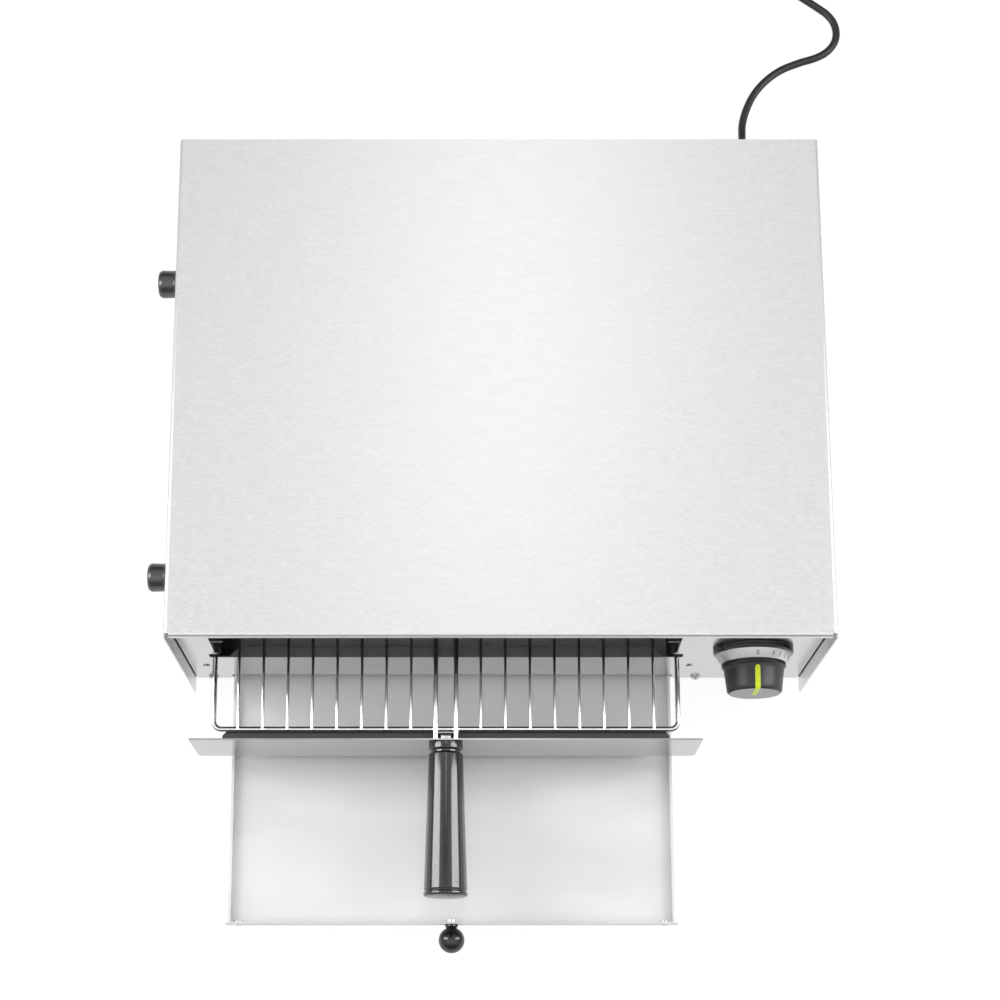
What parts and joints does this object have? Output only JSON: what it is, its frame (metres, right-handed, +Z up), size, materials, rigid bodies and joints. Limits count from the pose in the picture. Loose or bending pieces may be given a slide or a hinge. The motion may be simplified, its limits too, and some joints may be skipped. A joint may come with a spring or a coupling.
{
  "type": "pizza oven",
  "caption": "Counter-top pizza oven in brushed stainless steel with an open front, a sliding wire rack on a black handle, a pull-out crumb tray and a turning timer knob.",
  "frame": {"origin": "middle of the footprint of the object as drawn, without the mains lead, at the height of the feet's undersides", "axes": "+Z up, +Y from the front to the back, +X to the right as seen from the front"},
  "size_m": [0.5539, 0.9373, 0.2],
  "materials": {
    "stainless": "fine brushed grain along the width",
    "plain_steel": "plain rolled sheet",
    "chrome_wire": "bright plated wire",
    "dark_coat": "dark matt coating",
    "bakelite": "moulded, glossy",
    "knob_plastic": "moulded, satin",
    "lime_plastic": "moulded insert",
    "dial_silver": "satin silver with a printed scale",
    "rubber": "moulded",
    "cord_sheath": "extruded sheath",
    "tie_plastic": "flat band",
    "lead_sleeve": "woven sleeve",
    "quartz": "milky quartz",
    "ceramic": "unglazed",
    "zinc": "bright zinc plating"
  },
  "bodies": {
    "oven": {"top_cover": "stainless", "front_panel": "stainless", "back_panel": "stainless", "base_plate": "plain_steel", "chamber_left_wall": "plain_steel", "chamber_right_wall": "plain_steel", "chamber_rear_wall": "plain_steel", "chamber_ceiling": "plain_steel", "rack_rails": "plain_steel", "tray_runners": "plain_steel", "upper_heating_tubes": "quartz", "lower_heating_tubes": "quartz", "upper_tube_caps": "ceramic", "lower_tube_caps": "ceramic", "heater_links": "plain_steel", "timer_body": "zinc", "dial_bezel": "bakelite", "dial_ring": "dial_silver", "terminal_block": "ceramic", "wiring": "lead_sleeve", "bottom_feet": "rubber", "foot_screws": "zinc", "side_bumpers": "rubber", "panel_screws": "zinc", "panel_rivets": "zinc", "back_screws": "zinc", "cord_gland": "rubber", "cord": "cord_sheath", "cord_coil": "cord_sheath", "coil_tie": "tie_plastic", "plug": "rubber", "plug_pins": "zinc"},
    "rack_drawer": {"rack_frame": "chrome_wire", "rack_wires": "chrome_wire", "handle_rods": "chrome_wire", "front_plate": "stainless", "plate_liner": "dark_coat", "handle_washer": "zinc", "handle_bolt": "zinc", "handle_collar": "bakelite", "handle_grip": "bakelite"},
    "tray_drawer": {"crumb_tray": "stainless", "tray_front": "stainless", "tray_rivets": "zinc", "ball_knob": "bakelite", "ball_screw": "zinc"},
    "timer_turn": {"timer_shaft": "zinc", "timer_knob": "knob_plastic", "knob_pointer": "lime_plastic"}
  },
  "joints": [
    {"name": "rack_slide", "type": "slide", "parent": "oven", "child": "rack_drawer", "axis": [0, -1, 0], "range_m": [-0.056, 0.17]},
    {"name": "tray_slide", "type": "slide", "parent": "oven", "child": "tray_drawer", "axis": [0, -1, 0], "range_m": [-0.1947, 0.06]},
    {"name": "timer_hinge", "type": "hinge", "parent": "oven", "child": "timer_turn", "pos_m": [0.198, -0.0775, 0.112], "axis": [0, 1, 0], "range_deg": [0, 300]}
  ]
}
